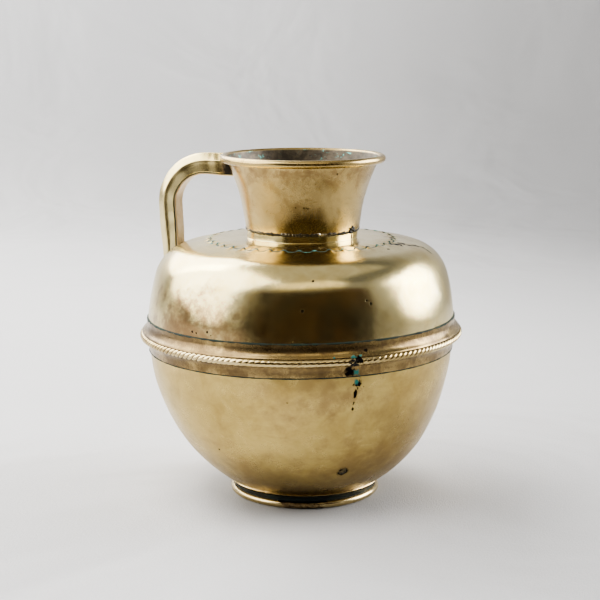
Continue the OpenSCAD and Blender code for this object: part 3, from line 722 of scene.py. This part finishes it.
def handle_path(count_arm=26, count_bend=34, count_leg=30):
    """Stations: point on the centre line and outward normal in the plane."""
    st = []
    bx, bz, br = -79.8, 237.6, 33.4
    for i in range(count_arm):
        t = i / count_arm
        x = -52.0 + (bx + 52.0) * t
        st.append((x, bz + br, 0.0, 1.0))
    for i in range(count_bend):
        a = math.radians(90 + 90 * i / count_bend)
        st.append((bx + br * math.cos(a), bz + br * math.sin(a), math.cos(a), math.sin(a)))
    for i in range(count_leg + 1):
        t = i / count_leg
        lean = 2.2 * smooth(np.array(t), 0.0, 1.0)
        st.append((bx - br + float(lean), bz - (bz - 172.0) * t, -1.0, 0.0))
    return st


def depth_at(x, z):
    """Half depth of the grip: deeper at the neck, thinner at the shoulder."""
    d = 8.5 + 1.15 * float(smooth(np.array(x), -84, -56))
    return d - 0.95 * float(smooth(np.array(-z), -222, -176))


def section(half, side=8.6, top=2.9, wall=1.4, rnd=1.1):
    """Closed outline of the channel (across, outward), outer face then inner. The sides are
    a little dished."""
    low, knee = -half + 1.3, half * 0.30
    flank = [(side - 0.35, low), (side + 0.14, low + 0.95), (side - 0.02, low + 2.7), (side - 0.17, low + 4.3),
             (side - 0.28, knee - 3.9), (side - 0.20, knee - 2.5), (side - 0.10, knee - 1.5)]
    out = [(-a, b) for (a, b) in flank]
    corners = [(-side, knee), (-top, half), (top, half), (side, knee)]
    prev = out[-1]
    for i, c in enumerate(corners):
        nxt = corners[i + 1] if i + 1 < len(corners) else flank[-1]
        a = np.array(prev, dtype=float)
        b = np.array(c, dtype=float)
        d = np.array(nxt, dtype=float)
        u = (a - b) / np.linalg.norm(a - b)
        w = (d - b) / np.linalg.norm(d - b)
        p0, p2 = b + u * rnd, b + w * rnd
        for k in range(5):
            t = k / 4
            q = (1 - t) ** 2 * p0 + 2 * t * (1 - t) * b + t ** 2 * p2
            out.append((float(q[0]), float(q[1])))
        prev = c
    out += list(reversed(flank))
    ins = [(side - wall, low), (side - wall, half * 0.30 - 0.6), (top - 0.4, half - wall), (-top + 0.4, half - wall),
           (-side + wall, half * 0.30 - 0.6), (-side + wall, low)]
    return out, ins


def neck_r_at(z):
    """Outer radius of the neck and its roll at a height, for fitting the arm."""
    if z < 234:
        return 46.1 + (z - 219.6) * 2.23 / 14.4
    if z < 261.12:
        return 173.83 - math.sqrt(127 ** 2 - (z - 214.57) ** 2)
    if z < 275.3:
        return 55.67 + (z - 261.12) * 0.394
    return C[0] + math.sqrt(max(3.2 ** 2 - (z - C[1]) ** 2, 0.0))


def shoulder_z_at(r):
    """Outer height of the shoulder at a radius, for fitting the leg."""
    if r > 118.8:
        return 142.3 + math.sqrt(max(141 ** 2 - (r + 15.6) ** 2, 0.0))
    return 174.8 + math.sqrt(max(33.5 ** 2 - (r - 86.87) ** 2, 0.0))


def sweep_handle(name, outline_fn, node, slot, mat, grime_and_shade_fn, closed=True, sharp=30):
    """Sweeps an outline along the handle and fits both ends to the pot."""
    st = handle_path()
    rows, gr_rows = [], []
    for k, (x, z, nx, nz) in enumerate(st):
        half = depth_at(x, z)
        o = outline_fn(half)
        uneven = 0.14 * math.sin(k * 0.37) + 0.10 * math.sin(k * 0.83 + 1)
        row = []
        for (a, b) in o:
            b = b * 8.5 / half if b > 0 and half > 8.5 else b
            wide = 1 + 0.012 * math.sin(k * 0.5) + 0.10 * float(smooth(np.array(x), -92, -50)) - 0.02 * float(smooth(np.array(-abs(x + 86)), -14, 0))
            row.append([x + nx * (b + uneven * 0.4), a * wide, z + nz * (b + uneven * 0.4)])
        rows.append(row)
    rows = np.array(rows)                       # stations, outline points, xyz
    ns_, np_ = rows.shape[0], rows.shape[1]
    # arm end: each lengthwise line stops on the neck, less a little so that they touch
    for j in range(np_):
        y, z = rows[0, j, 1], rows[0, j, 2]
        r = neck_r_at(min(z, 279.8)) - 0.5
        if z > C[1]:
            r = C[0] - 0.6
        x_end = -math.sqrt(max(r * r - y * y, 1.0))
        x0, x1 = x_end, rows[26, j, 0]
        for i in range(27):
            t = i / 26
            rows[i, j, 0] = x0 + (x1 - x0) * t
    # leg end: each lengthwise line stops on the shoulder
    last = ns_ - 1
    first = last - 30
    for j in range(np_):
        x, y = rows[last, j, 0], rows[last, j, 1]
        z_end = shoulder_z_at(math.hypot(x, y)) - 0.5
        z0 = rows[first, j, 2]
        for i in range(31):
            t = i / 30
            rows[first + i, j, 2] = z0 + (z_end - z0) * t
    verts = rows.reshape(-1, 3)
    faces = []
    for i in range(ns_ - 1):
        for j in range(np_):
            j2 = (j + 1) % np_
            faces.append((i * np_ + j, (i + 1) * np_ + j, (i + 1) * np_ + j2, i * np_ + j2))
    caps = outline_caps(np_, name)
    for a in caps:
        faces.append(tuple(a))
        faces.append(tuple((ns_ - 1) * np_ + q for q in a))
    g = grime_and_shade_fn(verts)
    ob = finish_mesh(name, verts, faces, slot=slot, node=node, attrs={"grime_and_shade": g, "inside": np.zeros(len(verts))},
                     sharp=sharp)
    return paint(ob, mat)


def outline_caps(count, name):
    """End faces of the sweep: a strip between the outer and inner outline of the channel, or one face."""
    if name != "handle":
        return [list(range(count))]
    n_in = 6
    n_out_ = count - n_in
    caps = []
    groups = [range(0, 10), range(9, 15), range(14, 20), range(19, 25), range(24, n_out_)]
    pairs = [(5, 4), (4, 3), (3, 2), (2, 1), (1, 0)]
    for grp, (p, q) in zip(groups, pairs):
        face = list(grp) + [n_out_ + q, n_out_ + p]
        caps.append(face)
    return caps


def channel_outline(half):
    o, i = section(half)
    return o + i


def strip_outline(half):
    s, w = 8.45, -half
    return [(-s, w + 1.22), (-s, w + 0.35), (-s + 0.4, w), (-3, w - 0.06), (3, w - 0.06), (s - 0.4, w), (s, w + 0.35), (s, w + 1.22)]


# painted shade with dirt where the arm meets the neck and where the leg meets the shoulder
def handle_grime_and_shade(v):
    x, z = v[:, 0], v[:, 2]
    join = np.exp(-((x + 60) / 8.5) ** 2) * (1 - smooth(z, 275, 279))
    foot = 0.35 * (1 - smooth(z, 196, 206))
    return join + foot


# an even base value, painted shade with dirt towards the leg's end on the shoulder, and a wavy variation
def strip_grime_and_shade(v):
    x, z = v[:, 0], v[:, 2]
    return 0.12 + 0.4 * (1 - smooth(z, 197, 203)) + 0.15 * np.sin(z * 0.9) * np.sin(x * 0.7 + 1)


sweep_handle("handle", channel_outline, "handle_channel", "handle_brass", m_handle, handle_grime_and_shade)
sweep_handle("handle_inner_strip", strip_outline, "handle_strip", "strip_brass", m_strip, strip_grime_and_shade)


def seam_line_outline(side):
    def fn(half):
        w = -half + 1.26
        s = side
        return [(s * 8.1, w - 0.22), (s * 8.58, w - 0.26), (s * 8.72, w), (s * 8.62, w + 0.30), (s * 8.1, w + 0.3)]
    return fn


sweep_handle("handle_seam_a", seam_line_outline(-1), "handle_seam_braze", "verdigris_braze", m_line,
             lambda v: np.zeros(len(v)), sharp=60)
sweep_handle("handle_seam_b", seam_line_outline(1), None, "verdigris_braze", m_line,
              lambda v: np.zeros(len(v)), sharp=60)


# solder round the arm's end on the neck and the leg's end on the shoulder
def rope_of_solder(name, pts, radius, node, mat, seed=0.0, squash=(1, 1, 1)):
    """A lumpy closed bead through points (mm)."""
    P = np.array(pts)
    m_ = len(P)
    n_ = 10
    rows = []
    for i in range(m_):
        t = P[(i + 1) % m_] - P[i - 1]
        t = t / np.linalg.norm(t)
        side = np.cross(t, [0.13, 0.21, 0.97])
        side = side / np.linalg.norm(side)
        up_ = np.cross(side, t)
        rr = radius * (1 + 0.28 * math.sin(i * 1.31 + seed) + 0.2 * math.sin(i * 2.77 + seed))
        for k in range(n_):
            a = 2 * math.pi * k / n_
            rows.append(P[i] + rr * (math.cos(a) * side + math.sin(a) * up_))
    v = np.array(rows)
    return paint(finish_mesh(name, v, grid_faces(m_, n_), slot="dark_braze", node=node, sharp=60,
                             attrs={"grime_and_shade": np.zeros(len(v)), "inside": np.zeros(len(v))}), mat)


o0, _ = section(depth_at(-60, 271))
loop = []
for (a, b) in o0 + [(4.0, -depth_at(-60, 271) + 0.1), (-4.0, -depth_at(-60, 271) + 0.1)]:
    zz = 271.0 + (b * 8.5 / depth_at(-60, 271) if b > 0 else b)
    if zz > C[1] + 1.0:
        zz = C[1] + 1.0
    rr_ = neck_r_at(min(zz, C[1])) + 0.15
    loop.append((-math.sqrt(max(rr_ ** 2 - a * a, 1)), a, zz))
loop2 = []
for i in range(len(loop)):
    p, q = np.array(loop[i]), np.array(loop[(i + 1) % len(loop)])
    steps = max(1, int(np.linalg.norm(q - p) / 0.9))
    for s_ in range(steps):
        loop2.append(tuple(p + (q - p) * s_ / steps))
rope_of_solder("handle_neck_joint", loop2, 0.42, "handle_neck_braze", m_dark, 0.5)

o1, _ = section(depth_at(-113, 180))
loop = []
for (a, b) in o1 + [(4.0, -depth_at(-113, 180)), (-4.0, -depth_at(-113, 180))]:
    x_ = -113.2 + 2.2 - b
    loop.append((x_, a, shoulder_z_at(math.hypot(x_, a)) + 0.1))
loop2 = []
for i in range(len(loop)):
    p, q = np.array(loop[i]), np.array(loop[(i + 1) % len(loop)])
    steps = max(1, int(np.linalg.norm(q - p) / 0.9))
    for s_ in range(steps):
        w_ = p + (q - p) * s_ / steps
        loop2.append((w_[0], w_[1], shoulder_z_at(math.hypot(w_[0], w_[1])) + 0.1))
rope_of_solder("handle_foot_joint", loop2, 0.5, "handle_foot_braze", m_dark, 1.7)


# ------------------------------------------------------------------ solder repairs

def blob(name, centre, normal, size, node, mat, seed=0.0, lumps=0.22, tail=None):
    """A lumpy drop of solder set on the surface. size is (across, up, out) in mm."""
    nrm = np.array(normal, dtype=float)
    nrm /= np.linalg.norm(nrm)
    upv = np.array([0, 0, 1.0]) - nrm * nrm[2]
    upv /= np.linalg.norm(upv)
    side = np.cross(upv, nrm)
    rows, cols = 26, 36
    v = []
    for i in range(rows):
        a = math.pi * i / (rows - 1)
        for j in range(cols):
            b = 2 * math.pi * j / cols
            d = np.array([math.sin(a) * math.cos(b), math.sin(a) * math.sin(b), math.cos(a)])
            k = 1 + lumps * (math.sin(3.1 * d[0] * 2 + seed) * math.sin(2.7 * d[1] * 2 + 1.3 * seed) + 0.6 * math.sin(6 * d[1] + 4 * d[0] + seed))
            x_, y_ = d[0] * size[0] * k, d[1] * size[1] * k
            if tail and d[1] > 0:
                y_ += tail[1] * d[1] ** 3
                x_ += tail[0] * d[1] ** 3
                x_ *= 1 - 0.55 * d[1] ** 2
            v.append(np.array(centre) + side * x_ + upv * y_ + nrm * d[2] * size[2] * k)
    faces = grid_faces(rows, cols, False, True)
    ob = finish_mesh(name, np.array(v), faces, slot="solder", node=node, weld=True, sharp=75,
                     attrs={"grime_and_shade": np.zeros(rows * cols), "inside": np.zeros(rows * cols)})
    return paint(ob, mat)


def on_pot(r, az, z, slope):
    """Centre and outward normal at a place, slope in degrees above the horizontal."""
    a = math.radians(az)
    s_ = math.radians(slope)
    return ((r * math.cos(a), r * math.sin(a), z), (math.cos(a) * math.cos(s_), math.sin(a) * math.cos(s_), math.sin(s_)))


c_, n_ = on_pot(92.3, -56.0, 39.2, -39.0)
blob("patch_low", c_, n_, (2.9, 2.7, 0.55), "bowl_patch", m_patch, 0.7, 0.10, tail=(2.2, 3.0))
c_, n_ = on_pot(46.4, -16.6, 221.4, 0.0)
blob("neck_drop", c_, n_, (4.2, 2.6, 1.6), "neck_solder", m_solder, 2.1, 0.26)
c_, n_ = on_pot(131.4, -57.6, 134.6, 0.0)
blob("band_drop", c_, n_, (4.2, 2.7, 0.85), "band_lump", m_solder, 3.3, 0.25)


# --------------------------------------------------------------- floor and backdrop

def cloth(name):
    """Pale cloth with a fine weave and soft folds, with painted light and shade laid into its colour."""
    k = Nodes(name)
    broad = k.noise(0.9, 3.0, 0.5)
    fleck = k.noise(420.0, 4.0, 0.7)
    weave = k.noise(900.0, 2.0, 0.5, 0.0, k.scaled(1, 0.25, 1))
    base = k.mix(k.step(k.math("ADD", k.math("MULTIPLY", broad, 0.55), k.math("MULTIPLY", fleck, 0.45)), 0.36, 0.64),
                 (0.80, 0.79, 0.78), (0.73, 0.725, 0.725))
    # painted light and shade: darker on the side away from the window, on the floor and further out, lighter up the
    # wall, and a painted contact shadow under the pot
    p = k.xyz()
    across = k.math("ADD", k.math("MULTIPLY", p[0], float(RIGHT[0])), k.math("MULTIPLY", p[1], float(RIGHT[1])))
    r2 = k.math("ADD", k.math("MULTIPLY", p[0], p[0]), k.math("MULTIPLY", p[1], p[1]))
    painted_shade = k.math("MULTIPLY", k.step(across, -0.2, 0.7, 1.0, 0.68), k.step(p[2], 0.1, 1.0, 0.84, 1.14))
    reach = k.math("SQRT", r2)
    painted_shade = k.math("MULTIPLY", painted_shade, k.step(reach, 0.060, 0.140, 0.58, 1.0))
    painted_shade = k.math("MULTIPLY", painted_shade, k.step(reach, 0.45, 1.3, 1.0, 0.86))
    painted_shade_rgb = k.t.nodes.new("ShaderNodeCombineColor")
    for i in range(3):
        k.put(painted_shade_rgb.inputs[i], painted_shade)
    base = k.mix(1.0, base, painted_shade_rgb.outputs[0], "MULTIPLY")
    folds = k.noise(3.2, 3.0, 0.5, 0.6, k.scaled(1, 1, 0.35))
    nrm = k.bump(folds, 0.035, 0.55)
    nrm = k.bump(k.math("ADD", weave, fleck), 0.0006, 0.5, nrm)
    return k.surface(base, 0.0, 0.9, nrm)


def stage_lathe(name, prof, seg, mat):
    v, faces = [], []
    n_p = len(prof)
    for i in range(seg):
        a = 2 * math.pi * i / seg
        for (r, z) in prof:
            v.append((r * math.cos(a), r * math.sin(a), z))
    for i in range(seg):
        i2 = (i + 1) % seg
        for j in range(n_p - 1):
            faces.append((i * n_p + j, i2 * n_p + j, i2 * n_p + j + 1, i * n_p + j + 1))
    me = bpy.data.meshes.new(name)
    me.from_pydata(v, [], faces)
    me.polygons.foreach_set("use_smooth", [True] * len(me.polygons))
    ob = bpy.data.objects.new(name, me)
    bpy.context.scene.collection.objects.link(ob)
    me.materials.append(mat)
    return ob


m_cloth = cloth("pale_cloth")
cyc = [(0.0, 0.0), (0.4, 0.0), (0.8, 0.0), (1.3, 0.0), (1.7, 0.0)]
cyc += [(1.7 + 1.1 * math.sin(math.radians(a)), 1.1 - 1.1 * math.cos(math.radians(a))) for a in range(6, 91, 6)]
cyc += [(2.8, 1.6), (2.8, 2.4), (2.8, 3.2)]
backdrop = stage_lathe("backdrop", cyc, 96, m_cloth)


# -------------------------------------------------------------------------- lights
# azimuths here are seen from above, counted from the camera's side towards its right

def toward(az, el, dist):
    a = math.radians(az) + CAM_AZ
    e = math.radians(el)
    return Vector((math.sin(a) * math.cos(e), -math.cos(a) * math.cos(e), math.sin(e))) * dist


AIM = Vector((0, 0, 0.14))


def softbox(name, az, el, dist, w, h, power, colour=(1, 1, 1), spread=180, aim=None):
    data = bpy.data.lights.new(name, "AREA")
    data.shape = "RECTANGLE"
    data.size, data.size_y = w, h
    data.energy = power
    data.color = colour
    data.spread = math.radians(spread)
    ob = bpy.data.objects.new(name, data)
    bpy.context.scene.collection.objects.link(ob)
    ob.location = toward(az, el, dist) + AIM
    ob.rotation_euler = ((aim or AIM) - ob.location).to_track_quat("-Z", "Y").to_euler()
    ob.visible_camera = False
    return ob


softbox("window_left", -88, 38, 1.75, 2.2, 2.3, 58, (1.0, 0.985, 0.96), 150)
softbox("window_back", -142, 38, 1.9, 1.3, 1.5, 24, (1.0, 0.99, 0.98), 140)
wash = softbox("wall_wash", -128, 36, 2.2, 0.8, 0.8, 42, (1.0, 1.0, 1.0), 150, toward(-169, 20, 2.7))
wash.visible_glossy = False
softbox("window_right", 104, 20, 2.0, 1.6, 1.3, 21, (0.99, 0.99, 1.0), 90)
softbox("ceiling_front", 5, 50, 1.9, 1.6, 0.55, 4.5, (1.0, 0.90, 0.70)).visible_diffuse = False


def glow(name, colour, strength, vary=None):
    k = Nodes(name)
    e = k.t.nodes.new("ShaderNodeEmission")
    if vary:
        nz = k.noise(vary[0], 3.0, 0.5, 0.3)
        k.put(e.inputs[0], k.mix(k.step(nz, 0.42, 0.62), colour, vary[1]))
    else:
        k.put(e.inputs[0], colour)
    e.inputs[1].default_value = strength
    k.t.links.new(e.outputs[0], k.out.inputs[0])
    return k.mat


def card(name, az0, az1, rows, mat, steps=40):
    """A curved card that the camera does not see, by default seen only in reflections. rows are (height, radius, pull) from its near edge up;
    pull moves the row outward away from the middle of the card."""
    v, faces = [], []
    n_r = len(rows)
    for i in range(steps + 1):
        t = 2 * i / steps - 1
        a = math.radians(az0 + (az1 - az0) * i / steps) + CAM_AZ
        for (z, r, pull) in rows:
            v.append((math.sin(a) * (r + pull * t ** 4), -math.cos(a) * (r + pull * t ** 4), z))
    for i in range(steps):
        for j in range(n_r - 1):
            faces.append((i * n_r + j, (i + 1) * n_r + j, (i + 1) * n_r + j + 1, i * n_r + j + 1))
    me = bpy.data.meshes.new(name)
    me.from_pydata(v, [], faces)
    me.materials.append(mat)
    ob = bpy.data.objects.new(name, me)
    bpy.context.scene.collection.objects.link(ob)
    ob.visible_camera = False
    ob.visible_diffuse = False
    ob.visible_shadow = False
    ob.visible_transmission = False
    return ob


card("dark_room", -39.5, 52, [(0.004, 0.50, 0.30), (0.004, 0.85, 0.10), (0.06, 1.02, 0), (0.42, 1.02, 0), (0.82, 1.02, 0)],
     glow("room_glow", (0.036, 0.031, 0.024), 1.0, (4.0, (0.10, 0.062, 0.034))))
shade = card("dark_side", -50, 60, [(0.10, 1.30, 0), (0.70, 1.30, 0), (1.30, 1.30, 0)],
             glow("shade_glow", (0.03, 0.03, 0.03), 1.0))
shade.visible_diffuse = True
shade.visible_glossy = False
ceiling = bpy.data.meshes.new("ceiling")
ceiling.from_pydata([(-1.0, -1.0, 2.0), (1.0, -1.0, 2.0), (1.0, 1.0, 2.0), (-1.0, 1.0, 2.0)], [], [(0, 1, 2, 3)])
ceiling.materials.append(glow("ceiling_glow", (0.60, 0.57, 0.51), 1.0))
ceiling = bpy.data.objects.new("ceiling", ceiling)
bpy.context.scene.collection.objects.link(ceiling)
ceiling.visible_camera = ceiling.visible_diffuse = ceiling.visible_shadow = False

world = bpy.data.worlds.new("studio")
bpy.context.scene.world = world
world.use_nodes = True
world.node_tree.nodes["Background"].inputs[0].default_value = (0.93, 0.95, 1.0, 1)
world.node_tree.nodes["Background"].inputs[1].default_value = 0.16

# -------------------------------------------------------------------------- camera

cam_data = bpy.data.cameras.new("camera")
cam_data.sensor_width = 36
cam_data.lens = 89.1
cam_data.clip_start = 0.05
cam = bpy.data.objects.new("camera", cam_data)
bpy.context.scene.collection.objects.link(cam)
left_by = 0.00074
cam.location = (0.31145 - left_by * RIGHT[0], -1.16233 - left_by * RIGHT[1], 0.37988)
look = Vector((-math.sin(CAM_AZ), math.cos(CAM_AZ), 0)) * math.cos(math.radians(10.37)) - Vector((0, 0, math.sin(math.radians(10.37))))
cam.rotation_euler = look.to_track_quat("-Z", "Y").to_euler()
bpy.context.scene.camera = cam
bpy.context.scene.view_settings.view_transform = "AgX"
bpy.context.scene.view_settings.look = "AgX - Medium High Contrast"
bpy.context.scene.view_settings.exposure = 0.0
